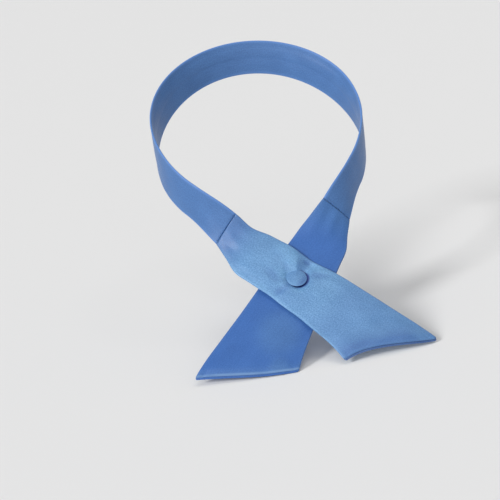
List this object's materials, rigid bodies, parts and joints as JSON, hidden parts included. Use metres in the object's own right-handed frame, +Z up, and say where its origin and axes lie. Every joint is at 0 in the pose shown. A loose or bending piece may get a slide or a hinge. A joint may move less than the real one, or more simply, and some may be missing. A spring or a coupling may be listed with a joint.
{
  "type": "crossover tie",
  "caption": "Satin crossover tie: padded bias-cut blades crossed at the throat under a covered button, on a neckband that circles the neck.",
  "frame": {"origin": "centre of the neck opening, at half the height of the neckband", "axes": "+Z up along the wearer's neck, -Y the wearer's front, +X the wearer's left"},
  "size_m": [0.1328, 0.1596, 0.1591],
  "materials": {
    "satin_front": "light blue satin with a soft sheen",
    "satin_rear": "blue satin, turned away from the light",
    "satin_band": "blue satin with a soft sheen",
    "satin_button": "light blue satin drawn over a dome",
    "stud_metal": "plain nickel finish"
  },
  "bodies": {
    "root": {"front_blade": "satin_front", "rear_blade": "satin_rear", "neckband": "satin_band", "covered_button": "satin_button", "press_stud": "stud_metal"}
  },
  "joints": []
}
